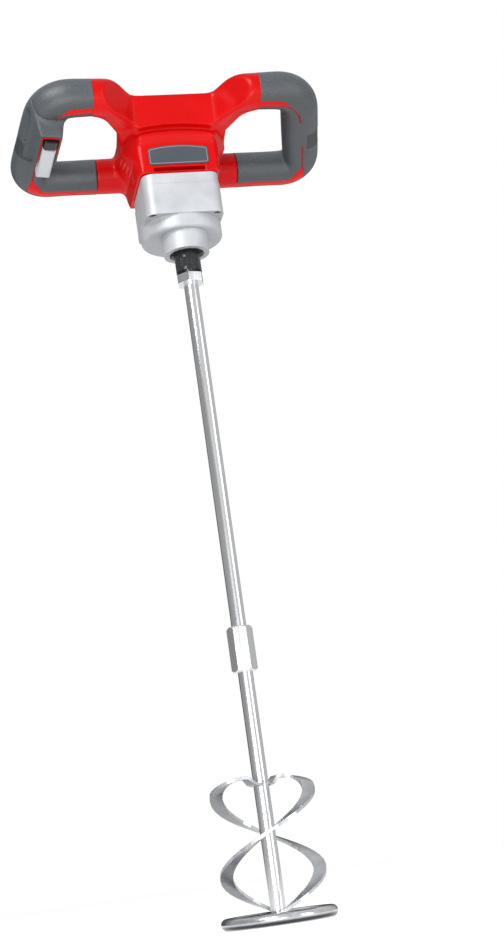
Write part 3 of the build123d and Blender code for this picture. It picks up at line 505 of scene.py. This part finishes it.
def strip_outlines(trim):
    """The bare strips under a grip: front wedge with its fine line, and the line that opens into the rear strip."""
    front_out = [((88, -61), -3.0), ((120, -61), -3.0), ((127, -59), 1.5), ((134, -54), 3.4), ((147, -28), 1.9)]
    front_in = [((88, -61), 6.5), ((113, -61), 6.5), ((122, -61), 5.2), ((134, -54), 5.1), ((147, -28), 3.6)]
    rear_out = [((154, 8), 0.4), ((160, 42), 0.8), ((161, 50), -3.0), ((157, 60), -14.0), ((146, 63.5), -13.0),
                ((76, 63.5), -11.0)]
    rear_in = [((154, 8), 2.1), ((160, 42), 2.5), ((157, 58), 4.0), ((146, 63.5), -0.5), ((76, 63.5), -1.0)]
    outlines = []
    for out, inn in ((front_out, front_in), (rear_out, rear_in)):
        out = beside_path([(p, w + trim) for p, w in out])
        inn = beside_path([(p, w - trim) for p, w in inn])
        outlines.append(out + inn[::-1])
    return outlines


def mirrored_piece(verts, faces):
    flipped = np.array(verts, float)
    flipped[:, 0] *= -1
    return flipped, [tuple(f)[::-1] for f in faces]


def place_piece(name, verts, faces, material, slot, side):
    """A mesh in loop directions, drawn for the right side, put on the right (1) or left (-1)."""
    if side < 0:
        verts, faces = mirrored_piece(verts, faces)
    return mesh_piece(name, to_row(verts) * MM, faces, material)


def seam_index(u, rear):
    on = PATH[:, 1] > 0 if rear else PATH[:, 1] < 0
    return int(np.argmin(np.where(on, np.abs(PATH[:, 0] - u), 1e9)))


STRIP_LOW_N, STRIP_HIGH_N, STRIP_GAP = -26.0, -9.0, 0.3
BAND_INNER_U, BAND_OUTER_U, BAND_LOW_V, BAND_HIGH_V, BAND_LOW_N, BAND_HIGH_N = 155.0, 190.0, -9.0, 13.0, -20.8, 12.0
BAND_GAP = 0.3
PARTING_GAP = 0.03


def band_box(inset):
    """A smooth band's outline (u, v) and its low and high n, smaller by inset on the sides that show."""
    low_u, low_v, high_v = BAND_INNER_U + inset, BAND_LOW_V + inset, BAND_HIGH_V - inset
    outline = [(low_u, low_v), (BAND_OUTER_U, low_v), (BAND_OUTER_U, high_v), (low_u, high_v)]
    return outline, BAND_LOW_N + inset, BAND_HIGH_N - inset


def build_loops(red_mat, rubber_mat, band_mat):
    """The housing's two shells, and on each side a grip with its bare strips and its smooth band."""
    points, quads = surface(housing_field())
    upper = cut_at("upper_housing_skin", points, quads, PARTING_N + PARTING_GAP, True, red_mat)
    lower = cut_at("lower_housing_skin", points, quads, PARTING_N - PARTING_GAP, False, red_mat)
    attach(upper, "machine")
    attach(lower, "machine")
    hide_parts("upper_housing")
    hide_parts("lower_housing")
    first, last = seam_index(FRONT_SEAM_U, False), seam_index(REAR_SEAM_U, True)
    # how far each skin's outside and inside stand from the loop's own radius
    rubber = tube_shell(first, last, 0.15, -RUBBER + 0.05)
    bare = tube_shell(first - 2, last + 2, -0.35, -RUBBER - 0.4)
    patch = tube_shell(first, last, -0.1, -RUBBER + 0.4)
    for side, label in ((1, "right"), (-1, "left")):
        grip_piece = place_piece(f"{label}_grip_skin", *rubber, rubber_mat, "grip_rubber", side)
        for outline in strip_outlines(0.0):
            cutter = place_piece("cutter", *prism_cutter(outline, STRIP_LOW_N, STRIP_HIGH_N), rubber_mat, None, side)
            boolean(grip_piece, cutter, "DIFFERENCE")
        band_cut = place_piece("cutter", *prism_cutter(*band_box(0.0)), rubber_mat, None, side)
        boolean(grip_piece, band_cut, "DIFFERENCE")
        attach(grip_piece, "machine")
        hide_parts(f"{label}_grip")
        for i, outline in enumerate(strip_outlines(STRIP_GAP)):
            strip = place_piece(f"{label}_strip_{i}", *bare, red_mat, "housing_red", side)
            cutter = place_piece("cutter", *prism_cutter(outline, STRIP_LOW_N, STRIP_HIGH_N), red_mat, None, side)
            boolean(strip, cutter, "INTERSECT")
            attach(strip, "machine")
        band_piece = place_piece(f"{label}_band_skin", *patch, band_mat, "band_rubber", side)
        band_cut = place_piece("cutter", *prism_cutter(*band_box(BAND_GAP)), rubber_mat, None, side)
        boolean(band_piece, band_cut, "INTERSECT")
        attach(band_piece, "machine")
        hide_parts(f"{label}_grip_band")


build_loops(red.mat, grip.mat, band.mat)


# ---------------------------------------------------------------- trigger shroud
TRIGGER_U, BAR_LEAN = -147.0, math.radians(9.0)
FINE = 0.7
# cross-section (a across the bar, c out of the loop plane) and side outline (b along the bar, c)
SHROUD_SECTION = [(-22, -2), (-12.2, -38.5), (12.2, -38.5), (17, -2)]
SHROUD_SIDE = [(-56, -2), (-41.5, -38.5), (-1, -38.5), (13, -2)]
SHROUD_BLEND, SHROUD_TO_BAR = 3.5, 6.5
OPENING_HALF_W, OPENING_LOW_B, OPENING_TOP_C, OPENING_BLEND = 9.0, -39.0, -21.0, 1.0


def bar_to_loop(points):
    """Points (a, b, c) in the left bar's leaning directions, as (u, v, n)."""
    p = np.asarray(points, float)
    a, b = p[:, 0], p[:, 1]
    u = TRIGGER_U + a * math.cos(BAR_LEAN) - b * math.sin(BAR_LEAN)
    return np.stack([u, a * math.sin(BAR_LEAN) + b * math.cos(BAR_LEAN), p[:, 2]], 1)


def build_shroud(rubber_mat, red_mat):
    """The trigger's hood, grown smoothly out of the left bar, with a red rim round its opening."""
    axes = [np.arange(low, high, FINE).astype(np.float32) for low, high in ((-34, 30), (-74, 36), (-44, 6))]
    a, b, c = np.meshgrid(*axes, indexing="ij")
    u = TRIGGER_U + a * math.cos(BAR_LEAN) - b * math.sin(BAR_LEAN)
    v = a * math.sin(BAR_LEAN) + b * math.cos(BAR_LEAN)
    nearest = np.full(a.shape[:2], 1e9, np.float32)
    radius = np.zeros_like(nearest)
    for (pu, pv), r in zip(PATH[::2], PATH_R[::2]):
        far = (-u[..., 0] - pu) ** 2 + (v[..., 0] - pv) ** 2
        radius = np.where(far < nearest, r, radius)
        nearest = np.minimum(far, nearest)
    tube = np.sqrt(nearest[..., None] + c * c) - radius[..., None]
    hood = smooth_max(polygon_field(a, c, SHROUD_SECTION), polygon_field(b, c, SHROUD_SIDE), SHROUD_BLEND)
    whole = smooth_min(hood, tube, SHROUD_TO_BAR)
    slot = np.maximum(np.maximum(np.abs(a) - OPENING_HALF_W, OPENING_LOW_B - b), c - OPENING_TOP_C)
    whole = smooth_max(whole, -slot, OPENING_BLEND)
    whole = np.maximum(whole, 0.3 - tube)
    whole = np.maximum(whole, np.maximum(c - 4.0, np.abs(b + 18.0) - 50.0))
    grid = openvdb.FloatGrid(4.0 * FINE)
    grid.copyFromArray(np.ascontiguousarray(whole.astype(np.float32)))
    points, quads = grid.convertToQuads()
    points = points * FINE + np.array([axis[0] for axis in axes])
    hood_piece = mesh_piece("trigger_hood", to_row(bar_to_loop(points)) * MM, quads, rubber_mat)
    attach(hood_piece, "machine")
    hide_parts("trigger_shroud")
    # the rim: a flat U-shaped lip, 1.2 thick, standing just below the hood's opening
    outer = [(-10.0, -3), (-10.0, -38), (-8.6, -39.9), (8.6, -39.9), (10.0, -38), (10.0, -14)]
    inner = [(9.3, -14), (9.3, -37.7), (8.2, -39.2), (-8.2, -39.2), (-9.3, -37.7), (-9.3, -3)]
    verts, faces = prism_cutter(outer + inner, -38.9, -36.0)
    rim = mesh_piece("trigger_opening_rim", to_row(bar_to_loop(verts)) * MM, faces, red_mat, False)
    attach(rim, "machine")


build_shroud(grip.mat, red.mat)


# ---------------------------------------------------------------- trigger spring
def build_spring():
    """The CAD coil again, as its own mesh in place of the hidden CAD spring."""
    cad = NODES["trigger_spring"]
    mesh = cad.data.copy()
    mesh.transform(cad.matrix_world)
    coil = bpy.data.objects.new("trigger_spring_coil", mesh)
    bpy.context.scene.collection.objects.link(coil)
    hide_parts("trigger_spring")
    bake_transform(coil)


build_spring()


# ---------------------------------------------------------------- line round the name plate
PLATE_LOW, PLATE_HIGH, PLATE_HALF_W, PLATE_CORNER, PLATE_RISE = 83.5, 103.0, 34.0, 3.0, 3.5


def plate_outline(inset):
    """The name plate's outline (x, z), inset, with round corners and an arched top."""
    low, high = PLATE_LOW + inset, PLATE_HIGH - inset
    half, corner = PLATE_HALF_W - inset, PLATE_CORNER - inset
    turns = [math.radians(15 * i) for i in range(7)]
    points = [(-half + corner - corner * math.cos(a), low + corner - corner * math.sin(a)) for a in turns]
    points += [(half - corner + corner * math.sin(a), low + corner - corner * math.cos(a)) for a in turns]
    points += [(half - corner + corner * math.cos(a), high - corner + corner * math.sin(a)) for a in turns[:6]]
    xs = [half - corner - (2 * half - 2 * corner) * i / 24 for i in range(25)]
    points += [(x, high + PLATE_RISE * (1 - (x / half) ** 2)) for x in xs]
    points += [(-half + corner - corner * math.sin(a), high - corner + corner * math.cos(a)) for a in turns[1:]]
    return points


def build_plate_line(material):
    """A thin raised line, just in front of the name plate's face."""
    front = min((NODES["name_plate"].matrix_world @ Vector(c)).y for c in NODES["name_plate"].bound_box)
    loops = [plate_outline(1.3), plate_outline(1.9)]
    count = len(loops[0])
    verts = [(x * MM, front + depth, z * MM) for depth in (-0.0002, 0.0001) for loop in loops for x, z in loop]
    faces = []
    for i in range(count):
        j = (i + 1) % count
        outer, inner, back = 0, count, 2 * count
        faces.append((outer + i, outer + j, inner + j, inner + i))
        faces.append((back + inner + i, back + inner + j, back + outer + j, back + outer + i))
        faces.append((back + outer + i, back + outer + j, outer + j, outer + i))
        faces.append((inner + i, inner + j, back + inner + j, back + inner + i))
    line = mesh_piece("name_plate_line", verts, faces, material, False)
    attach(line, "machine")


plate_line = moulded_plastic("plate_line", (0.22, 0.24, 0.26), (0.28, 0.30, 0.32), 0.4, edge=0.0)
build_plate_line(plate_line.mat)


# ---------------------------------------------------------------- floor, light and camera
def area_light(name, at, toward, size, watts):
    data = bpy.data.lights.new(name, "AREA")
    data.shape, data.size, data.size_y = "RECTANGLE", size[0], size[1]
    data.energy = watts
    light = bpy.data.objects.new(name, data)
    bpy.context.scene.collection.objects.link(light)
    light.location = at
    light.rotation_euler = (Vector(toward) - Vector(at)).to_track_quat("-Z", "Y").to_euler()


def pale_floor(z, radius):
    """A round floor, wide enough that its edge melts into the backdrop."""
    turns = [2 * math.pi * i / 96 for i in range(96)]
    verts = [(radius * math.cos(a), radius * math.sin(a), z) for a in turns]
    mesh = bpy.data.meshes.new("floor")
    mesh.from_pydata(verts, [], [list(range(96))])
    floor = bpy.data.objects.new("floor", mesh)
    bpy.context.scene.collection.objects.link(floor)
    paint = Shader("floor_pale", (0.86, 0.86, 0.86), 0.6)
    paint.tint(paint.noise(1.5, 3.0), (0.85, 0.85, 0.85), (0.88, 0.88, 0.88))
    paint.set("Emission Color", (1.0, 1.0, 1.0, 1.0))
    paint.set("Emission Strength", FLOOR_GLOW)
    floor.data.materials.append(paint.mat)


# brightness of the surroundings, from the left (0) to the right (1)
WORLD_STOPS = ((0.0, 0.45), (0.20, 0.50), (0.34, 0.90), (0.50, 1.0), (0.57, 0.72), (0.62, 0.95), (1.0, 0.7))
# strength by direction: less behind the object (Y over 0.55) than elsewhere
WORLD_BEHIND = (("From Min", 0.55), ("From Max", 0.9), ("To Min", 0.5), ("To Max", 0.06))
GLOSSY_EXTRA = 0.9
FLOOR_GLOW = 0.66


def backdrop():
    """World light, stronger in reflections and weak behind the object; the camera sees plain white."""
    world = bpy.data.worlds.new("studio")
    world.use_nodes = True
    tree = world.node_tree
    seen = tree.nodes["Background"]
    seen.inputs["Color"].default_value = (1.0, 1.0, 1.0, 1)
    seen.inputs["Strength"].default_value = 1.0
    lit = tree.nodes.new("ShaderNodeBackground")
    toward = tree.nodes.new("ShaderNodeTexCoord").outputs["Generated"]
    split = tree.nodes.new("ShaderNodeSeparateXYZ")
    tree.links.new(toward, split.inputs[0])
    ramp = tree.nodes.new("ShaderNodeValToRGB")
    level = tree.nodes.new("ShaderNodeMapRange")
    tree.links.new(split.outputs["X"], level.inputs["Value"])
    level.inputs["From Min"].default_value = -1.0
    tree.links.new(level.outputs[0], ramp.inputs[0])
    while len(ramp.color_ramp.elements) < len(WORLD_STOPS):
        ramp.color_ramp.elements.new(0.5)
    for element, (place, value) in zip(ramp.color_ramp.elements, WORLD_STOPS):
        element.position = place
        element.color = (value, value, value, 1)
    behind = tree.nodes.new("ShaderNodeMapRange")
    tree.links.new(split.outputs["Y"], behind.inputs["Value"])
    for socket, value in WORLD_BEHIND:
        behind.inputs[socket].default_value = value
    path = tree.nodes.new("ShaderNodeLightPath")
    gain = tree.nodes.new("ShaderNodeMath")
    gain.operation = "MULTIPLY_ADD"
    tree.links.new(path.outputs["Is Glossy Ray"], gain.inputs[0])
    gain.inputs[1].default_value, gain.inputs[2].default_value = GLOSSY_EXTRA, 1.0
    level_out = tree.nodes.new("ShaderNodeMath")
    level_out.operation = "MULTIPLY"
    tree.links.new(behind.outputs[0], level_out.inputs[0])
    tree.links.new(gain.outputs[0], level_out.inputs[1])
    tree.links.new(level_out.outputs[0], lit.inputs["Strength"])
    tree.links.new(ramp.outputs[0], lit.inputs["Color"])
    mix = tree.nodes.new("ShaderNodeMixShader")
    tree.links.new(path.outputs["Is Camera Ray"], mix.inputs[0])
    tree.links.new(lit.outputs[0], mix.inputs[1])
    tree.links.new(seen.outputs[0], mix.inputs[2])
    tree.links.new(mix.outputs[0], tree.nodes["World Output"].inputs["Surface"])
    bpy.context.scene.world = world


# fitted to the photograph
CAMERA_AT = Vector((-0.3377, -1.6598, -0.6880))
HEADING, PITCH, ROLL = math.radians(12.749), math.radians(13.755), math.radians(8.271)
FOCAL_PX, IMAGE_H, SENSOR = 1613.8, 948.0, 36.0


def camera():
    """The photograph's camera: it heads HEADING right of +Y, looks up by PITCH and is rolled by ROLL."""
    data = bpy.data.cameras.new("camera")
    data.sensor_fit, data.sensor_height = "VERTICAL", SENSOR
    data.lens = FOCAL_PX * SENSOR / IMAGE_H
    data.clip_start, data.clip_end = 0.05, 60.0
    cam = bpy.data.objects.new("camera", data)
    bpy.context.scene.collection.objects.link(cam)
    forward = Vector((math.sin(HEADING) * math.cos(PITCH), math.cos(HEADING) * math.cos(PITCH), math.sin(PITCH)))
    level = Vector((math.cos(HEADING), -math.sin(HEADING), 0.0))
    upward = level.cross(forward)
    right = level * math.cos(ROLL) - upward * math.sin(ROLL)
    up = level * math.sin(ROLL) + upward * math.cos(ROLL)
    turn = Matrix((right, up, -forward)).transposed()
    cam.matrix_world = Matrix.Translation(CAMERA_AT) @ turn.to_4x4()
    bpy.context.scene.camera = cam


pale_floor(CAD_BOX[0][2] - 0.0005, 14.0)
backdrop()
camera()
area_light("key", (-1.3, -1.7, 1.3), (0, 0, 0.05), (0.9, 0.9), 42)
area_light("fill", (1.5, -1.5, -0.1), (0, 0, -0.1), (0.8, 1.6), 10)
area_light("low", (-0.5, -1.4, -0.55), (0, 0, 0.1), (0.9, 0.5), 9)

bpy.context.scene.view_settings.view_transform = "Standard"
